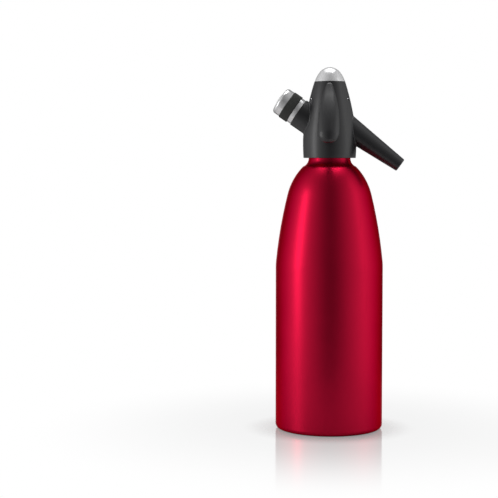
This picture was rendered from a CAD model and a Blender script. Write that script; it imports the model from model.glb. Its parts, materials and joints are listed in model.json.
# %% [markdown]
# # A soda siphon, dressed around its frame
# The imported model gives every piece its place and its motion. This script adds what
# the eye needs: finishes, the screw threads, and round surfaces finer than the frame's.
# Everything is in metres. The lever faces -Y, the spout +X and the charger cap -X.

# %% Load the frame
import bmesh
import bpy
import json
import math
import numpy as np
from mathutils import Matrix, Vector


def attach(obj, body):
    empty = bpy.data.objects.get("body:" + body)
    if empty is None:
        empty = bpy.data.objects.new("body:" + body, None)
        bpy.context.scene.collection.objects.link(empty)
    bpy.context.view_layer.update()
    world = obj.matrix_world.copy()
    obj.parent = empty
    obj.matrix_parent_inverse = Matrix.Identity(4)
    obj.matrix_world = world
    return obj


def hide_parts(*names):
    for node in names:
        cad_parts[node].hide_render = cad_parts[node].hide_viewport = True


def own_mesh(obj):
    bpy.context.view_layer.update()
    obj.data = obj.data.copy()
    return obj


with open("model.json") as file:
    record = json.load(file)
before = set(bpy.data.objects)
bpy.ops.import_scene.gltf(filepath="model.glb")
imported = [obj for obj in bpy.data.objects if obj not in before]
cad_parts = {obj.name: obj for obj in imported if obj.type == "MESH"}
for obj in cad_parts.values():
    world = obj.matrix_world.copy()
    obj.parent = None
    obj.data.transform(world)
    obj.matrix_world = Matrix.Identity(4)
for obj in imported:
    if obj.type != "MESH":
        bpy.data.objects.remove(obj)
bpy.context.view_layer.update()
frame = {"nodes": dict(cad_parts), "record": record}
nodes = frame["nodes"]
scene = bpy.context.scene
body_of = {node: body for body, names in frame["record"]["behaviour"]["bodies"].items()
           for node in names}
slot_of = {entry["node"]: entry["material_slot"] for entry in frame["record"]["subparts"]}

# %% [markdown]
# ## The camera
# The photograph was taken from about 1.2 m with a longish lens, level with the top of the
# bottle and tilted a little down. The object stands right of the picture's middle, so the
# camera aims past it, and no lens shift is needed. A pixel of the picture is a direction:
# the picture is 498 pixels wide, and the focal length in pixels gives the angle.

# %% Camera
MM = 0.001
PICTURE_WIDTH = 498
SENSOR_WIDTH = 36.0
LENS = 102.4
AXIS_PIXEL_X = 329.4
HORIZON_PIXEL_Y = 158.0
CAMERA_DISTANCE = 1190 * MM
CAMERA_HEIGHT = 228 * MM
OBJECT_TURN = math.radians(4.7)

focal_pixels = LENS / SENSOR_WIDTH * PICTURE_WIDTH
side_step = (AXIS_PIXEL_X - PICTURE_WIDTH / 2) / focal_pixels * CAMERA_DISTANCE
pitch = math.atan((PICTURE_WIDTH / 2 - HORIZON_PIXEL_Y) / focal_pixels)
forward = np.array([-math.sin(OBJECT_TURN), math.cos(OBJECT_TURN)])
rightward = np.array([forward[1], -forward[0]])
camera_ground = -CAMERA_DISTANCE * forward - side_step * rightward

camera_data = bpy.data.cameras.new("photo_camera")
camera_data.lens = LENS
camera_data.sensor_width = SENSOR_WIDTH
camera = bpy.data.objects.new("photo_camera", camera_data)
camera.location = (camera_ground[0], camera_ground[1], CAMERA_HEIGHT)
camera.rotation_euler = (math.pi / 2 - pitch, 0.0, OBJECT_TURN)
scene.collection.objects.link(camera)
scene.camera = camera
scene.view_settings.view_transform = "Standard"
print("camera at", tuple(round(value, 3) for value in camera.location))

# %% [markdown]
# ## The studio
# Satin and polished surfaces show what stands round them, so the room matters more than
# the lamps. It is bright at both sides, dim where the camera stands and dimmer behind:
# that gives the bottle its two bright bands, its dark middle stripe and its dark edges.
# A bright patch hangs overhead. A white backdrop of limited width stands behind the
# object: mirrored rays and rays let through see it, the light that falls on dull
# surfaces leaves it out, and the camera sees white all round.

# %% Node helpers


def math_node(tree, operation, *inputs):
    """Output of a Math node; an input is a number or another node's output."""
    node = tree.nodes.new("ShaderNodeMath")
    node.operation = operation
    for number, value in enumerate(inputs):
        if isinstance(value, (int, float)):
            node.inputs[number].default_value = value
        else:
            tree.links.new(value, node.inputs[number])
    return node.outputs[0]


def ramp(tree, value, start, end, low=0.0, high=1.0, smooth=True):
    """Value taken from start..end to low..high, smoothly or in a straight line."""
    node = tree.nodes.new("ShaderNodeMapRange")
    node.interpolation_type = "SMOOTHSTEP" if smooth else "LINEAR"
    for label, number in (("From Min", start), ("From Max", end), ("To Min", low),
                          ("To Max", high)):
        node.inputs[label].default_value = number
    tree.links.new(value, node.inputs["Value"])
    return node.outputs["Result"]


def component(tree, vector, way):
    """How far a vector points along a fixed direction: their dot product."""
    node = tree.nodes.new("ShaderNodeVectorMath")
    node.operation = "DOT_PRODUCT"
    node.inputs[1].default_value = way
    tree.links.new(vector, node.inputs[0])
    return node.outputs["Value"]


# %% The room
FRONT_SHADE = 0.10
SIDE_SHADE = 0.86
SIDE_POWER = 1.5
REAR_SHARE = 0.36
SKY_SHADE = 1.25
SKY_LEAN = math.radians(15)
SKY_EDGE, SKY_FULL = 0.80, 0.92
BACKDROP_EDGE, BACKDROP_FULL = 0.93, 0.97

world = bpy.data.worlds.new("studio")
world.use_nodes = True
tree = world.node_tree
tree.nodes.clear()
look = tree.nodes.new("ShaderNodeTexCoord").outputs["Generated"]
sideways = math_node(tree, "ABSOLUTE", component(tree, look, (*rightward, 0)))
sideways = math_node(tree, "POWER", sideways, SIDE_POWER)
behind = component(tree, look, (*forward, 0))
upward = component(tree, look, (*(forward * math.sin(SKY_LEAN)), math.cos(SKY_LEAN)))
shade = ramp(tree, sideways, 0, 1, FRONT_SHADE, SIDE_SHADE, smooth=False)
shade = math_node(tree, "MULTIPLY", shade,
                  ramp(tree, behind, 0, 1, 1.0, REAR_SHARE, smooth=False))
sky = math_node(tree, "MULTIPLY", ramp(tree, upward, SKY_EDGE, SKY_FULL), SKY_SHADE)
shade = math_node(tree, "MAXIMUM", shade, sky)
path = tree.nodes.new("ShaderNodeLightPath")
mirrored = math_node(tree, "MAXIMUM", path.outputs["Is Glossy Ray"],
                     path.outputs["Is Transmission Ray"])
mirrored = math_node(tree, "MULTIPLY", mirrored,
                     ramp(tree, behind, BACKDROP_EDGE, BACKDROP_FULL))
white = math_node(tree, "MAXIMUM", path.outputs["Is Camera Ray"], mirrored)
room = tree.nodes.new("ShaderNodeBackground")
tree.links.new(math_node(tree, "MAXIMUM", shade, white), room.inputs["Color"])
out = tree.nodes.new("ShaderNodeOutputWorld")
tree.links.new(room.outputs[0], out.inputs["Surface"])
scene.world = world
print("room:", len(world.node_tree.nodes), "nodes")

# %% Soft boxes
MIDDLE = (0.0, 0.0, 0.17)


def soft_box(name, azimuth, distance, level, width, tall, glow):
    """Rectangular lamp that faces the object's middle.

    azimuth is in degrees from the camera's side (0) to the right; glow is the brightness
    of its face, so power = pi * area * glow.
    """
    turn = math.radians(azimuth) + OBJECT_TURN
    data = bpy.data.lights.new(name, "AREA")
    data.shape = "RECTANGLE"
    data.size = width
    data.size_y = tall
    data.energy = math.pi * width * tall * glow
    lamp = bpy.data.objects.new(name, data)
    lamp.location = (distance * math.sin(turn), -distance * math.cos(turn), level)
    toward = lamp.location - Vector(MIDDLE)
    lamp.rotation_euler = toward.to_track_quat("Z", "Y").to_euler()
    scene.collection.objects.link(lamp)


soft_box("left_box", -72, 0.80, 0.30, 0.20, 0.60, 2.6)
soft_box("right_box", 74, 0.80, 0.45, 0.22, 0.9, 0.35)
soft_box("top_box", 165, 0.15, 1.10, 0.7, 0.5, 2.4)

# %% [markdown]
# ## The floor
# A white table top, polished enough to show a faint upright mirror image. Close to the
# foot it is lit like anything else and takes the shadow. Further out it is as white as
# the backdrop, so no edge shows, and seen from above it mirrors little. Only the camera
# sees it so: mirrored rays see a plain grey top. The table is small, as a large one would
# mirror in the bottle and fill its dark stripe.

# %% Floor
FLOOR_HALF = 0.26
SHADOW_NEAR, SHADOW_FAR = 0.044, 0.075
SHADOW_SHARE = 0.5
MIRROR_NEAR, MIRROR_FAR = 0.05, 0.26
MIRROR_GAIN = 1.3
POLISH_IOR = 1.5
MIRROR_ROUGHNESS = 0.10
TABLE_GREY = 0.60
TABLE_ROUGHNESS = 0.4

floor_mesh = bpy.data.meshes.new("table_top")
floor_mesh.from_pydata([(-FLOOR_HALF, -FLOOR_HALF, 0), (FLOOR_HALF, -FLOOR_HALF, 0),
                        (FLOOR_HALF, FLOOR_HALF, 0), (-FLOOR_HALF, FLOOR_HALF, 0)],
                       [], [(0, 1, 2, 3)])
floor = bpy.data.objects.new("table_top", floor_mesh)
scene.collection.objects.link(floor)
table = bpy.data.materials.new("table_white")
table.use_nodes = True
tree = table.node_tree
lit = tree.nodes["Principled BSDF"]
lit.inputs["Base Color"].default_value = (TABLE_GREY, TABLE_GREY, TABLE_GREY, 1)
lit.inputs["Roughness"].default_value = TABLE_ROUGHNESS
polish = tree.nodes.new("ShaderNodeBsdfGlossy")
polish.inputs["Roughness"].default_value = MIRROR_ROUGHNESS
bright = tree.nodes.new("ShaderNodeEmission")
reach = tree.nodes.new("ShaderNodeVectorMath")
reach.operation = "LENGTH"
tree.links.new(tree.nodes.new("ShaderNodeTexCoord").outputs["Object"], reach.inputs[0])
reach = reach.outputs["Value"]


def blended(factor, first, second):
    """Mix Shader of two shaders."""
    node = tree.nodes.new("ShaderNodeMixShader")
    for number, value in enumerate((factor, first, second)):
        tree.links.new(value, node.inputs[number])
    return node.outputs[0]


seen = blended(ramp(tree, reach, SHADOW_NEAR, SHADOW_FAR, SHADOW_SHARE, 0.0),
               bright.outputs[0], lit.outputs[0])
grazing = tree.nodes.new("ShaderNodeFresnel")
grazing.inputs["IOR"].default_value = POLISH_IOR
share = math_node(tree, "MULTIPLY", grazing.outputs[0],
                  ramp(tree, reach, MIRROR_NEAR, MIRROR_FAR, MIRROR_GAIN, 0.0))
seen = blended(share, seen, polish.outputs[0])
path = tree.nodes.new("ShaderNodeLightPath")
tree.links.new(blended(path.outputs["Is Camera Ray"], lit.outputs[0], seen),
               tree.nodes["Material Output"].inputs["Surface"])
floor_mesh.materials.append(table)
print("table:", 2 * FLOOR_HALF, "m wide")

# %% [markdown]
# ## Shared effects
# Node groups are small machines that several materials share. One gives the fine bump and
# uneven shine of a moulded or lacquered surface. The other gives turned metal its rings,
# which run round the bottle's axis. Each puts out only values and normals.

# %% Node group helpers


def new_group(name, inputs, outputs):
    """Group with float inputs (name, value) and outputs (name, socket type)."""
    group = bpy.data.node_groups.new(name, "ShaderNodeTree")
    for label, value in inputs:
        socket = group.interface.new_socket(label, in_out="INPUT",
                                            socket_type="NodeSocketFloat")
        socket.default_value = value
    for label, kind in outputs:
        group.interface.new_socket(label, in_out="OUTPUT", socket_type=kind)
    return group, group.nodes.new("NodeGroupInput"), group.nodes.new("NodeGroupOutput")


def noise_node(tree, vector, scale, detail):
    """Value of a Noise node; its scale is a number or another node's output."""
    node = tree.nodes.new("ShaderNodeTexNoise")
    node.inputs["Detail"].default_value = detail
    tree.links.new(vector, node.inputs["Vector"])
    if isinstance(scale, (int, float)):
        node.inputs["Scale"].default_value = scale
    else:
        tree.links.new(scale, node.inputs["Scale"])
    return node.outputs["Fac"]


surface_outputs = [("Roughness", "NodeSocketFloat"), ("Normal", "NodeSocketVector"),
                   ("Drift", "NodeSocketFloat")]


def bump_and_roughness(group, given, result, relief, drift, rough):
    """Finish a group: relief to a Bump of the given depth, drift and rough passed on."""
    bump = group.nodes.new("ShaderNodeBump")
    group.links.new(relief, bump.inputs["Height"])
    group.links.new(given.outputs["Depth"], bump.inputs["Distance"])
    group.links.new(rough, result.inputs["Roughness"])
    group.links.new(bump.outputs["Normal"], result.inputs["Normal"])
    group.links.new(drift, result.inputs["Drift"])


# %% Grain: fine bump, slow drift of roughness, rare scratches
SLOW_SCALE = 45.0
SCRATCH_LOW = 0.66
SCRATCH_HIGH = 0.72
STREAK_TURN = (0.3, 0.5, 0.2)
STREAK_SCALE = (1400, 90, 60)

GRAIN, given, result = new_group(
    "surface_grain",
    [("Grain Size", 0.0004), ("Depth", 0.00001), ("Roughness", 0.4), ("Spread", 0.1),
     ("Scratches", 0.0)], surface_outputs)
place = GRAIN.nodes.new("ShaderNodeTexCoord").outputs["Object"]
fine_scale = math_node(GRAIN, "DIVIDE", 1.0, given.outputs["Grain Size"])
fine = noise_node(GRAIN, place, fine_scale, detail=3)
slow = noise_node(GRAIN, place, SLOW_SCALE, detail=4)
stretch = GRAIN.nodes.new("ShaderNodeMapping")
stretch.inputs["Rotation"].default_value = STREAK_TURN
stretch.inputs["Scale"].default_value = STREAK_SCALE
GRAIN.links.new(place, stretch.inputs["Vector"])
streaks = noise_node(GRAIN, stretch.outputs["Vector"], 1.0, detail=1)
marks = GRAIN.nodes.new("ShaderNodeMapRange")
marks.inputs["From Min"].default_value = SCRATCH_LOW
marks.inputs["From Max"].default_value = SCRATCH_HIGH
GRAIN.links.new(streaks, marks.inputs["Value"])
rough = math_node(GRAIN, "MULTIPLY_ADD", math_node(GRAIN, "SUBTRACT", slow, 0.5),
                  given.outputs["Spread"], given.outputs["Roughness"])
rough = math_node(GRAIN, "MULTIPLY_ADD", marks.outputs["Result"],
                  given.outputs["Scratches"], rough)
bump_and_roughness(GRAIN, given, result, fine, slow, rough)
print("grain:", len(GRAIN.nodes), "nodes")

# %% Lathe rings: noise that changes only with height and distance from the axis
LATHE, given, result = new_group(
    "lathe_rings",
    [("Pitch", 0.0003), ("Depth", 0.000008), ("Roughness", 0.25), ("Spread", 0.15)],
    surface_outputs)
place = LATHE.nodes.new("ShaderNodeTexCoord").outputs["Object"]
parts = LATHE.nodes.new("ShaderNodeSeparateXYZ")
LATHE.links.new(place, parts.inputs[0])
flat = LATHE.nodes.new("ShaderNodeCombineXYZ")
LATHE.links.new(parts.outputs["X"], flat.inputs["X"])
LATHE.links.new(parts.outputs["Y"], flat.inputs["Y"])
spoke = LATHE.nodes.new("ShaderNodeVectorMath")
spoke.operation = "LENGTH"
LATHE.links.new(flat.outputs[0], spoke.inputs[0])
ring_place = LATHE.nodes.new("ShaderNodeCombineXYZ")
LATHE.links.new(spoke.outputs["Value"], ring_place.inputs["X"])
LATHE.links.new(parts.outputs["Z"], ring_place.inputs["Y"])
ring_scale = math_node(LATHE, "DIVIDE", 1.0, given.outputs["Pitch"])
rings = noise_node(LATHE, ring_place.outputs[0], ring_scale, detail=2)
slow = noise_node(LATHE, place, SLOW_SCALE, detail=3)
rough = math_node(LATHE, "MULTIPLY_ADD", math_node(LATHE, "SUBTRACT", rings, 0.5),
                  given.outputs["Spread"], given.outputs["Roughness"])
bump_and_roughness(LATHE, given, result, rings, slow, rough)
print("groups:", [group.name for group in bpy.data.node_groups])

# %% [markdown]
# ## Finishes
# A finish is a Principled shader fed by one of the groups. Its colour drifts a little, as
# no real lacquer or moulding is one flat tone. The two plated finishes are only partly
# metallic: some of their light is scattered, and they stay pale where a pure mirror would
# show the dim side of the room.

# %% Materials


def finish(name, colour, group, inputs, metallic=0.0, tint=0.05, fixed=()):
    """Material from a linear colour, a group with its values, and fixed shader values."""
    material = bpy.data.materials.new(name)
    material.use_nodes = True
    tree = material.node_tree
    shader = tree.nodes["Principled BSDF"]
    effect = tree.nodes.new("ShaderNodeGroup")
    effect.node_tree = group
    for label, value in inputs.items():
        effect.inputs[label].default_value = value
    mix = tree.nodes.new("ShaderNodeMix")
    mix.data_type = "RGBA"
    low = [value * (1 - tint) for value in colour]
    high = [min(1.0, value * (1 + tint)) for value in colour]
    mix.inputs["A"].default_value = (*low, 1)
    mix.inputs["B"].default_value = (*high, 1)
    tree.links.new(effect.outputs["Drift"], mix.inputs["Factor"])
    tree.links.new(mix.outputs["Result"], shader.inputs["Base Color"])
    tree.links.new(effect.outputs["Roughness"], shader.inputs["Roughness"])
    tree.links.new(effect.outputs["Normal"], shader.inputs["Normal"])
    shader.inputs["Metallic"].default_value = metallic
    for label, value in dict(fixed).items():
        shader.inputs[label].default_value = value
    return material


def grain(size, depth, roughness, spread=0.06, scratches=0.0):
    return {"Grain Size": size, "Depth": depth, "Roughness": roughness, "Spread": spread,
            "Scratches": scratches}


def lathe(pitch, depth, roughness, spread=0.12):
    return {"Pitch": pitch, "Depth": depth, "Roughness": roughness, "Spread": spread}


RED = finish("red_lacquer", (0.62, 0.008, 0.046), GRAIN,
             grain(0.00022, 0.0000025, 0.34, 0.05, 0.06), metallic=1.0,
             fixed={"Specular Tint": (1.0, 0.26, 0.32, 1)})
BLACK = finish("satin_black", (0.009, 0.009, 0.011), GRAIN,
               grain(0.0003, 0.000006, 0.36, 0.06, 0.05), fixed={"Specular IOR Level": 0.8})
LEVER_BLACK = finish("lever_black", (0.010, 0.010, 0.012), GRAIN,
                     grain(0.0003, 0.000005, 0.36, 0.06, 0.08),
                     fixed={"Specular IOR Level": 0.8})
CHROME = finish("bright_chrome", (0.92, 0.92, 0.93), GRAIN,
                grain(0.0004, 0.0, 0.07, 0.04, 0.05), metallic=0.65, tint=0.02)
DOME = finish("dome_bright", (0.95, 0.95, 0.96), GRAIN,
              grain(0.0004, 0.0, 0.12, 0.04, 0.04), metallic=0.35, tint=0.02)
EDGE = finish("edge_black", (0.085, 0.085, 0.09), GRAIN,
              grain(0.0003, 0.000004, 0.26, 0.04), fixed={"Specular IOR Level": 0.9})
GRIP = finish("grip_rubber", (0.040, 0.042, 0.038), GRAIN, grain(0.0005, 0.00004, 0.65))
ALLOY = finish("cast_alloy", (0.50, 0.50, 0.52), GRAIN, grain(0.0008, 0.00003, 0.40, 0.12),
               metallic=1.0)
STEEL = finish("turned_steel", (0.62, 0.62, 0.64), LATHE, lathe(0.0003, 0.000006, 0.22),
               metallic=1.0)
BRASS = finish("turned_brass", (0.68, 0.47, 0.20), LATHE, lathe(0.0003, 0.000006, 0.24),
               metallic=1.0)
SEAL = finish("seal_rubber", (0.15, 0.15, 0.15), GRAIN, grain(0.0004, 0.00002, 0.62))
MILKY = finish("milky_plastic", (0.76, 0.76, 0.73), GRAIN, grain(0.0006, 0.000004, 0.30),
               fixed={"Subsurface Weight": 0.15, "Subsurface Scale": 0.002})
INNER = finish("dark_moulding", (0.05, 0.05, 0.055), GRAIN, grain(0.0004, 0.00001, 0.5))

finish_of = {"bottle_red": RED, "cover_black": BLACK, "lever_black": LEVER_BLACK,
             "bright_chrome": CHROME, "grip_rubber": GRIP, "cast_alloy": ALLOY,
             "steel": STEEL, "brass": BRASS, "rubber_grey": SEAL, "clear_plastic": MILKY,
             "inner_plastic": INNER}
for node, slot in slot_of.items():
    mesh = nodes[node].data
    mesh.materials.clear()
    mesh.materials.append(finish_of[slot])
print("dressed", len(slot_of), "nodes")

# %% [markdown]
# ## From a section to a surface
# Nearly every piece of the siphon is turned on a lathe or spun over a former, so one set
# of helpers makes them all: a half section of straight and curved runs, its corners
# softened as real ones are, carried round an axis. The axis is the bottle's own, the
# charger's or the spout's.

# %% Section helpers
SHARP_ANGLE = math.radians(28)
ARC_STEP = math.radians(3)
MOST_TURN = 2.6
MOST_CUT = 0.45
CURVE_POINTS = 6
FEWEST_STEPS = 6
SAME_POINT = 1e-5


def bent_run(start, end, radius):
    """Points on the arc from start to end, without the end.

    A positive radius turns left and a negative one right: the centre lies on the chord's
    bisector, at sqrt(radius^2 - (chord/2)^2) from it.
    """
    start, end = np.array(start, float), np.array(end, float)
    chord = end - start
    half = np.linalg.norm(chord) / 2
    left = np.array([-chord[1], chord[0]]) / (2 * half)
    rise = math.copysign(math.sqrt(max(radius ** 2 - half ** 2, 0)), radius)
    centre = (start + end) / 2 + left * rise
    sweep = math.copysign(2 * math.asin(min(1.0, half / abs(radius))), radius)
    first = math.atan2(*(start - centre)[::-1])
    count = max(FEWEST_STEPS, math.ceil(abs(sweep) / ARC_STEP))
    angle = first + sweep * np.arange(count) / count
    return centre + abs(radius) * np.stack([np.cos(angle), np.sin(angle)], axis=1)


def section(corners, soft):
    """Closed section through corners (radius, height[, bend]) in mm, corners softened.

    A corner point P becomes a quadratic curve from A to B, soft * tan(turn / 2) before
    and after it: (1-t)^2 A + 2t(1-t) P + t^2 B.
    """
    runs = []
    for corner, following in zip(corners, corners[1:] + corners[:1]):
        if len(corner) > 2:
            runs.append(bent_run(corner[:2], following[:2], corner[2]))
        else:
            runs.append(np.array([corner[:2]], float))
    points = np.concatenate(runs)
    before = points - np.roll(points, 1, axis=0)
    after = np.roll(points, -1, axis=0) - points
    short = np.linalg.norm(before, axis=1)
    long = np.linalg.norm(after, axis=1)
    turn = np.arccos(np.clip((before * after).sum(axis=1) / (short * long), -1, 1))
    turn = np.where((turn > SHARP_ANGLE) & (points[:, 0] > 0), turn, 0)
    cut = np.minimum(soft * np.tan(np.minimum(turn, MOST_TURN) / 2),
                     MOST_CUT * np.minimum(short, long))
    low = points - before / short[:, None] * cut[:, None]
    high = points + after / long[:, None] * cut[:, None]
    share = np.linspace(0, 1, CURVE_POINTS)[None, :, None]
    curve = ((1 - share) ** 2 * low[:, None] + 2 * share * (1 - share) * points[:, None]
             + share ** 2 * high[:, None]).reshape(-1, 2)
    apart = np.linalg.norm(curve - np.roll(curve, 1, axis=0), axis=1) > SAME_POINT
    return curve[apart]


print("a softened square has", len(section([(5, 0), (15, 0), (15, 10), (5, 10)], 1.0)),
      "points")


# %% Axes: origin and direction of each, in mm
RIM = 243.0
CHARGER_LEAN = math.radians(34.5)
SPOUT_LEAN = math.radians(36.0)
CHARGER_RISE, SPOUT_RISE = 5.0, 21.8
upright = ((0, 0, 0), (0, 0, 1))
head_axis = ((0, 0, RIM), (0, 0, 1))
charger_axis = ((0, 0, RIM + CHARGER_RISE),
                (-math.cos(CHARGER_LEAN), 0, math.sin(CHARGER_LEAN)))
spout_axis = ((0, 0, RIM + SPOUT_RISE),
              (math.cos(SPOUT_LEAN), 0, -math.sin(SPOUT_LEAN)))


def round_axis(radius, angle, along, axis):
    """Points at radius and angle round an axis and along it, in metres.

    The axis, the direction across it in the XZ plane and Y make the three directions.
    """
    origin, line = (np.array(item, float) for item in axis)
    across = np.cross((0, 1, 0), line)
    spin = (np.cos(angle)[..., None] * across
            + np.sin(angle)[..., None] * np.array([0, 1, 0]))
    return (origin + radius[..., None] * spin + along[..., None] * line) * MM


print("the charger leans", round(math.degrees(CHARGER_LEAN), 1), "degrees up, the spout",
      round(math.degrees(SPOUT_LEAN), 1), "down")


# %% Making a mesh from a grid
GRID_MERGE = 1e-6
TURNED_STEPS = 192


def rework(mesh, merge=0.0, outwards=False):
    """Merge points closer than merge; if asked, drop loose edges and face outwards."""
    shape = bmesh.new()
    shape.from_mesh(mesh)
    if merge:
        bmesh.ops.remove_doubles(shape, verts=shape.verts, dist=merge)
    if outwards:
        stray = [edge for edge in shape.edges if not edge.link_faces]
        bmesh.ops.delete(shape, geom=stray, context="EDGES")
        bmesh.ops.recalc_face_normals(shape, faces=shape.faces)
    shape.to_mesh(mesh)
    shape.free()


def add_object(name, mesh, body, slot, replaced=()):
    """Object from a mesh, smooth but for its sharp edges, riding on a body."""
    if "custom_normal" in mesh.attributes:
        mesh.attributes.remove(mesh.attributes["custom_normal"])
    mesh.materials.clear()
    mesh.materials.append(finish_of[slot])
    mesh.shade_smooth()
    mesh.set_sharp_from_angle(angle=SHARP_ANGLE)
    piece = bpy.data.objects.new(name, mesh)
    scene.collection.objects.link(piece)
    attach(piece, body)
    if replaced:
        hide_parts(*replaced)
    return piece


def add_piece(name, grid, body, slot, replaced=(), wrap=(True, True)):
    """Mesh object from a grid of points, with a quad between each four neighbours.

    wrap says whether the two directions of the grid close on themselves. Points that
    coincide are merged, and faces point outwards.
    """
    rows, columns = grid.shape[:2]
    index = np.arange(rows * columns).reshape(rows, columns)
    index = np.concatenate([index, index[:1]]) if wrap[0] else index
    index = np.concatenate([index, index[:, :1]], axis=1) if wrap[1] else index
    corners = (index[:-1, :-1], index[:-1, 1:], index[1:, 1:], index[1:, :-1])
    faces = np.stack([corner.ravel() for corner in corners], axis=1)
    mesh = bpy.data.meshes.new(name)
    mesh.from_pydata(grid.reshape(-1, 3), [], faces.tolist())
    rework(mesh, merge=GRID_MERGE, outwards=True)
    return add_object(name, mesh, body, slot, replaced)


def turned(name, corners, axis, body, slot, replaced, soft):
    """Section carried round an axis: radius and height of the section, any angle."""
    outline = section(corners, soft)
    angle = np.arange(TURNED_STEPS) / TURNED_STEPS * 2 * math.pi
    radius = np.repeat(outline[:, :1], TURNED_STEPS, axis=1)
    along = np.repeat(outline[:, 1:], TURNED_STEPS, axis=1)
    grid = round_axis(radius, np.broadcast_to(angle, radius.shape), along, axis)
    return add_piece(name, grid, body, slot, replaced)


# %% [markdown]
# ## The bottle
# The real bottle is spun from one sheet of aluminium over a former: a flat standing ring
# with a dish inside it, straight sides, a long easing flank, a round shoulder and a thick
# neck that carries the thread. Its section is drawn once and turned.

# %% Bottle
bottle_corners = [
    (0, 3.0, -217.5), (36.0, 0), (41.0, 0, 4.0), (45.0, 4.0), (45.0, 136.0, 62.5),
    (44.75, 141.6, 390.0), (35.3, 197.0, 51.0), (22.2, 220.9, -7.2), (17.5, 227.5),
    (17.5, RIM), (14.0, RIM), (14.0, 226.0), (21.36, 220.06, -49.8), (34.1, 197.0, -388.8),
    (43.55, 141.6, -61.3), (43.8, 136.0), (43.8, 4.0, -2.8), (41.0, 1.2),
    (36.0, 1.2, 217.5), (0, 4.2),
]
bottle = turned("bottle_shell", bottle_corners, upright, "bottle", "bottle_red", ["bottle"],
                soft=0.25)
print("bottle:", len(bottle.data.polygons), "faces")

# %% [markdown]
# ## The threads
# The head screws on the neck, and the cap on its socket. A screw thread is one ridge that
# climbs as it goes round: its section, a low trapezoid, is carried along a helix, and it
# sinks into its core at both ends. The ridge of the outer piece lies half a pitch from
# that of the inner one, so that they mesh, also when turned.

# %% Helical ridge
RIDGE_STEPS = 72
RIDGE_BITE = 0.15
RIDGE_FADE = 0.35
RIDGE_FOOT = 0.26
RIDGE_CREST = 0.10


def ridge(name, axis, core, height, pitch, low, high, body, slot):
    """Thread ridge from low to high along an axis; a negative height points inwards.

    radius = core + bite + (profile - bite) * fade, along = low + pitch * turns + width *
    fade, angle = 2 pi turns; fade is 0 at both ends and 1 from RIDGE_FADE turns inwards.
    """
    full = (high - low) / pitch
    turns = np.linspace(0, full, math.ceil(full * RIDGE_STEPS))[:, None]
    fade = np.clip(np.minimum(turns, full - turns) / RIDGE_FADE, 0, 1)
    bite = -math.copysign(RIDGE_BITE, height)
    profile = np.array([[bite, height, height, bite]])
    width = np.array([[-RIDGE_FOOT, -RIDGE_CREST, RIDGE_CREST, RIDGE_FOOT]]) * pitch
    radius = core + bite + (profile - bite) * fade
    along = low + pitch * turns + width * fade
    angle = np.broadcast_to(2 * math.pi * turns, radius.shape)
    return add_piece(name, round_axis(radius, angle, along, axis), body, slot,
                     wrap=(False, True))


NECK_PITCH, NECK_CORE, NECK_RIDGE = 3.0, 17.5, 1.05
NECK_LOW, NECK_HIGH = 229.5, 241.2
COLLAR_CORE, COLLAR_HIGH = 18.9, NECK_HIGH + 0.8
CAP_PITCH, SOCKET_CORE, SOCKET_RIDGE = 1.5, 8.6, 0.26
SOCKET_LOW, SOCKET_HIGH = 33.0, 42.6
LINER_CORE, LINER_RIDGE, LINER_HIGH = 8.95, 0.24, SOCKET_HIGH + 1.6
neck_ridge = ridge("neck_thread", upright, NECK_CORE, NECK_RIDGE, NECK_PITCH, NECK_LOW,
                   NECK_HIGH, "bottle", "bottle_red")
ridge("collar_thread", upright, COLLAR_CORE, -NECK_RIDGE, NECK_PITCH,
      NECK_LOW + NECK_PITCH / 2, COLLAR_HIGH, "head", "cast_alloy")
ridge("socket_thread", charger_axis, SOCKET_CORE, SOCKET_RIDGE, CAP_PITCH, SOCKET_LOW,
      SOCKET_HIGH, "head", "brass")
ridge("liner_thread", charger_axis, LINER_CORE, -LINER_RIDGE, CAP_PITCH,
      SOCKET_LOW + CAP_PITCH / 2, LINER_HIGH, "cap", "inner_plastic")
print("neck ridge:", len(neck_ridge.data.polygons), "faces")

# %% [markdown]
# ## Dome cap
# A thin pressed shell, chrome plated, that plugs into the top of the cover. Polished metal
# shows every facet, so it is turned anew, finely.

# %% Dome
dome = turned("dome_shell", [
    (9.45, 46.2), (10.95, 46.2), (10.95, 48.6), (12.8, 48.6, 24.0), (8.3, 56.9, 10.97),
    (0, 60.7), (0, 59.4, -9.67), (7.32, 56.05, -22.7), (9.45, 50.1),
], head_axis, "head", "bright_chrome", ["dome_cap"], soft=0.12)
dome.data.materials[0] = DOME
print("dome:", len(dome.data.polygons), "faces")

# %% [markdown]
# ## Charger cap
# A bright cup with a rubber band let into it, so that a wet hand can turn it. The band has
# fine ribs along it: its outer radius rises and falls with the angle.

# %% Cap
turned("cap_cup", [
    (10.0, 31.9), (11.6, 31.9), (11.6, 35.7), (10.8, 35.7), (10.8, 43.6), (11.8, 43.6),
    (11.8, 48.2, 2.6), (9.2, 50.8, 30.9), (0, 52.2), (0, 46.4), (10.0, 46.4),
], charger_axis, "cap", "bright_chrome", ["cap_shell"], soft=0.18)

RIBS = 60
RIB_HEIGHT = 0.28
BAND_STEPS = 480
BAND_FOOT = 11.4
BAND_RISE = 0.9
BAND_SOFT = 0.45
band_section = section([(10.85, 35.75), (12.3, 35.75), (12.3, 43.55), (10.85, 43.55)],
                       BAND_SOFT)
angle = np.arange(BAND_STEPS)[None] / BAND_STEPS * 2 * math.pi
outer = np.clip((band_section[:, :1] - BAND_FOOT) / BAND_RISE, 0, 1)
radius = band_section[:, :1] - RIB_HEIGHT * outer * (0.5 - 0.5 * np.cos(RIBS * angle)) ** 2
along = np.repeat(band_section[:, 1:], BAND_STEPS, axis=1)
band = add_piece("cap_band", round_axis(radius, np.broadcast_to(angle, radius.shape), along,
                                        charger_axis), "cap", "grip_rubber", ["cap_grip"])
print("band:", len(band.data.polygons), "faces")

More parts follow.
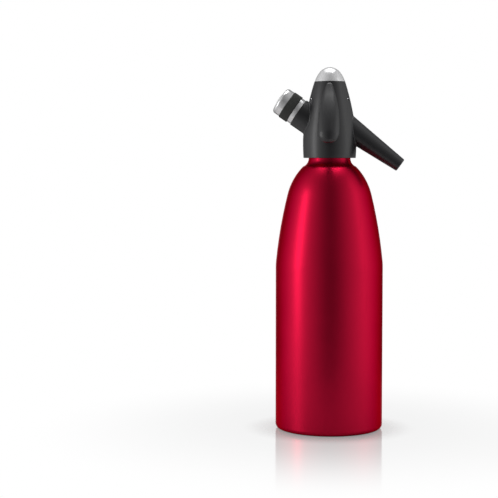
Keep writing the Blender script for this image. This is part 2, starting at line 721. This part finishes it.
# %% [markdown]
# ## The lever
# A blade that lies close under the dome and swings out in a long curve: narrow at the top,
# widest four fifths down and round at its end, hollow at the back to save material. The
# surface is a function of two parameters, s along the crest and a round it.

# %% Lever blade
CREST_CENTRE = (-110.38, RIM - 65.29)
CREST_RADIUS = 167.0
CREST_TOP = math.radians(42.3)
CREST_END = math.radians(22.9)
CREST_LIFT = 1.1
LIFT_SHARE = 0.22
TOP_ROUND = 0.035
END_ROUND = 0.16
BLADE_WALL = 1.5
HOLLOW_START = 0.44
HOLLOW_EASE = 0.10
INNER_START = 0.012
INNER_PART = 0.968
width_controls = (2.7, 5.2, 8.6, 9.2, 9.0, 8.8)
depth_controls = (1.5, 2.4, 3.2, 4.6, 6.2, 6.8)


def bernstein(controls, share):
    """Smooth curve over shares 0 to 1: sum of binomial(n, k) s^k (1-s)^(n-k) c_k."""
    order = len(controls) - 1
    return sum(math.comb(order, k) * share ** k * (1 - share) ** (order - k) * value
               for k, value in enumerate(controls))


def rounding(share, start, end):
    """1 along the blade, falling to 0 at its ends as a quarter ellipse does."""
    first = np.clip((start - share) / start, 0, 1)
    last = np.clip((share - 1 + end) / end, 0, 1)
    return np.sqrt(np.clip(1 - first ** 2, 0, 1) * np.clip(1 - last ** 2, 0, 1))


def blade_surface(share, full, angle, wall, reach):
    """Points on the blade, wall mm inside its outer skin.

    x = full * (width - wall) * sin(a), and the drop below the crest is depth - full *
    (depth - wall) * cos(a) * reach, where s turns the section about the crest's centre.
    """
    width = bernstein(width_controls, share)
    depth = bernstein(depth_controls, share)
    side = full * (width - wall) * np.sin(angle)
    drop = depth - full * (depth - wall) * np.cos(angle) * reach
    lift = CREST_LIFT * np.clip(1 - share / LIFT_SHARE, 0, 1) ** 2
    turn = CREST_TOP + (CREST_END - CREST_TOP) * share
    out_by = CREST_CENTRE[0] + (CREST_RADIUS + lift - drop) * np.cos(turn)
    level = CREST_CENTRE[1] + (CREST_RADIUS + lift - drop) * np.sin(turn)
    return np.stack([side, -out_by, level], axis=-1) * MM


ROWS = 120
ROUND_STEPS = 49
share = (0.5 - 0.5 * np.cos(np.linspace(0, math.pi, ROWS)))[:, None]
over = np.linspace(-math.pi / 2, math.pi / 2, ROUND_STEPS)[None]
hollow = np.clip((share - HOLLOW_START) / HOLLOW_EASE, 0, 1)
hollow = hollow ** 2 * (3 - 2 * hollow)
full = rounding(share, TOP_ROUND, END_ROUND)
outside = blade_surface(share, full, over, 0.0, 1.0)
inside = blade_surface(share * INNER_PART + INNER_START, full, over[:, ::-1], BLADE_WALL,
                       hollow)
blade = add_piece("lever_blade", np.concatenate([outside, inside], axis=1), "lever",
                  "lever_black", ["lever"], wrap=(False, True))
print("blade:", len(blade.data.polygons), "faces")

# %% [markdown]
# Under the blade stands the web: a plate that passes through the cover's slot. It carries
# the hub on the pin, and the fork whose two prongs lift the valve stem.

# %% Lever web
OUTLINE_SHIFT = 100.0
PLATE_SOFT = 0.25


def plate(name, corners, low, high, body, slot):
    """Plate from a closed outline (out, level) in mm, between two places along X.

    The two ends are the outline itself, and a quad joins each pair of neighbours.
    """
    shifted = [(OUTLINE_SHIFT + corner[0], *corner[1:]) for corner in corners]
    outline = section(shifted, PLATE_SOFT)
    count = len(outline)
    flat = np.stack([np.zeros(count), OUTLINE_SHIFT - outline[:, 0], outline[:, 1]], axis=1)
    points = np.concatenate([flat + (low, 0, 0), flat + (high, 0, 0)]) * MM
    index = np.arange(count)
    following = np.roll(index, -1)
    sides = np.stack([index, following, following + count, index + count], axis=1)
    mesh = bpy.data.meshes.new(name)
    mesh.from_pydata(points, [], sides.tolist() + [index[::-1].tolist(),
                                                   (index + count).tolist()])
    rework(mesh, outwards=True)
    return add_object(name, mesh, body, slot)


WEB_HALF = 3.25
FORK_HALF = 1.7
web_corners = [
    (16.2, RIM + 42.1, -166.0), (29.2, RIM + 24.6), (26.2, RIM + 24.8, -6.0),
    (20.2, RIM + 30.8), (17.5, RIM + 31.1), (7.3, RIM + 29.3, -4.0), (3.56, RIM + 31.9),
    (2.4, RIM + 31.9), (2.4, RIM + 34.3), (3.43, RIM + 34.3, 4.0), (7.3, RIM + 37.3),
    (11.4, RIM + 40.0),
]
web = plate("lever_web", web_corners, -WEB_HALF, WEB_HALF, "lever", "lever_black")
prong_corners = [(3.2, RIM + 31.9), (3.2, RIM + 34.3), (1.43, RIM + 34.3, 2.0),
                 (-2.0, RIM + 32.9, 2.0), (1.73, RIM + 31.9)]
plate("lever_prong_left", prong_corners, -WEB_HALF, -FORK_HALF, "lever", "lever_black")
plate("lever_prong_right", prong_corners, FORK_HALF, WEB_HALF, "lever", "lever_black")
print("web:", len(web.data.polygons), "faces")

# %% [markdown]
# ## Edges of the cover's openings
# Where the charger neck and the spout leave the cover, the moulding has a soft rounded
# edge that catches a thin line of light. It is a bead carried along the curve in which the
# sleeve's cone meets the cover, found for all points of the curve at once by halving.

# %% Opening beads
BEAD_RADIUS = 0.3
BEAD_STEPS = 160
BEAD_ROUND = 10
NEAREST, FURTHEST = 5.0, 40.0
HALVINGS = 30
CHARGER_SLEEVE = 12.3
SPOUT_SLEEVE, SPOUT_START, SPOUT_SLOPE = 10.78, 12.0, -0.0807
cover_line = np.concatenate([
    bent_run((21.9, -14.6), (22.35, -3.0), 160.0),
    bent_run((22.35, -3.0), (20.2, 18.2), 96.0),
    bent_run((20.2, 18.2), (12.85, 48.6), 220.0), [[12.85, 48.6]]])


def opening_bead(name, axis, reach, start=0.0, slope=0.0):
    """Bead where a sleeve of radius reach + slope * (along - start) meets the cover.

    Along each line of the sleeve the crossing lies between a place inside the cover and
    one outside it, and halving that range again and again finds it.
    """
    angle = np.arange(BEAD_STEPS) / BEAD_STEPS * 2 * math.pi
    near, far = np.full(BEAD_STEPS, NEAREST), np.full(BEAD_STEPS, FURTHEST)
    for _ in range(HALVINGS):
        middle = (near + far) / 2
        spot = round_axis(reach + slope * (middle - start), angle, middle, axis) / MM
        beyond = (np.hypot(spot[:, 0], spot[:, 1])
                  > np.interp(spot[:, 2] - RIM, cover_line[:, 1], cover_line[:, 0]))
        near, far = np.where(beyond, near, middle), np.where(beyond, middle, far)
    run = np.roll(spot, -1, axis=0) - np.roll(spot, 1, axis=0)
    away = spot * (1, 1, 0) / np.hypot(spot[:, 0], spot[:, 1])[:, None]
    side = np.cross(run, away)
    side /= np.linalg.norm(side, axis=1)[:, None]
    spin = (np.arange(BEAD_ROUND) / BEAD_ROUND * 2 * math.pi)[None, :, None]
    grid = spot[:, None] + BEAD_RADIUS * (np.cos(spin) * away[:, None]
                                          + np.sin(spin) * side[:, None])
    bead = add_piece(name, grid * MM, "head", "cover_black")
    bead.data.materials[0] = EDGE
    return bead


beads = [opening_bead("charger_bead", charger_axis, CHARGER_SLEEVE),
         opening_bead("spout_bead", spout_axis, SPOUT_SLEEVE, SPOUT_START, SPOUT_SLOPE)]
print("beads:", [len(bead.data.polygons) for bead in beads], "faces")

# %% [markdown]
# ## Mouldings taken from the frame
# The other pieces have the right shape already. Their meshes are loose triangles, so each
# is copied, its points are merged, and it is shaded smooth up to its real edges. The valve
# spring stands between the lift collar and a fixed plate above it. As the stem rises, the
# spring grows shorter by the same travel, and its top end stays where it is. The travel
# written here is the range of the valve's joint.

# %% Copies of the frame's pieces
COPY_MERGE = 2e-6
made_anew = {"bottle", "dome_cap", "cap_shell", "cap_grip", "lever"}


def smooth_copy(node):
    """Merged, smooth copy of a node, standing for it."""
    mesh = nodes[node].data.copy()
    rework(mesh, merge=COPY_MERGE)
    return add_object(node + "_skin", mesh, body_of[node], slot_of[node], [node])


copies = {node: smooth_copy(node) for node in sorted(set(slot_of) - made_anew)}
print("copied", len(copies), "nodes")

# %% The spring's travel
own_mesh(copies["valve_spring"])
